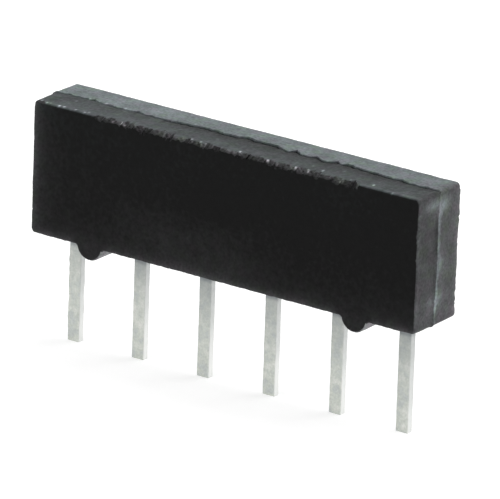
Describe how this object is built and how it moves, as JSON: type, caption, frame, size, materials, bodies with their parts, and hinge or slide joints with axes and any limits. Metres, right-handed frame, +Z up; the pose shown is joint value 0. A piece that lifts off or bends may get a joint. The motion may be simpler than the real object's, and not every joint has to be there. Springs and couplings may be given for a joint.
{
  "type": "resistor network",
  "caption": "Moulded single in-line resistor network: a thin black block on a row of flat tinned leads, with printed resistors on an alumina plate inside.",
  "frame": {"origin": "middle of the lead row on the seating plane, where the standoffs' feet meet the board", "axes": "+X along the lead row from lead 1 to lead 6, -Y the front face, +Z up; the leads point down -Z"},
  "size_m": [0.0148, 0.0024, 0.0081],
  "materials": {
    "moulding": "matte black moulded epoxy",
    "lead": "matte tin over copper alloy",
    "solder": "satin solder",
    "alumina": "matte white ceramic",
    "conductor": "matte fired silver film",
    "resistor_film": "matte black fired film",
    "overglaze": "glossy green fired glass"
  },
  "bodies": {
    "root": {"body": "moulding", "substrate": "alumina", "conductor_bus": "conductor", "overglaze": "overglaze", "lead_1": "lead", "lead_2": "lead", "lead_3": "lead", "lead_4": "lead", "lead_5": "lead", "lead_6": "lead", "solder_1": "solder", "solder_2": "solder", "solder_3": "solder", "solder_4": "solder", "solder_5": "solder", "solder_6": "solder", "conductor_pad_2": "conductor", "conductor_pad_3": "conductor", "conductor_pad_4": "conductor", "conductor_pad_5": "conductor", "conductor_pad_6": "conductor", "resistor_1": "resistor_film", "resistor_2": "resistor_film", "resistor_3": "resistor_film", "resistor_4": "resistor_film", "resistor_5": "resistor_film"}
  },
  "joints": []
}
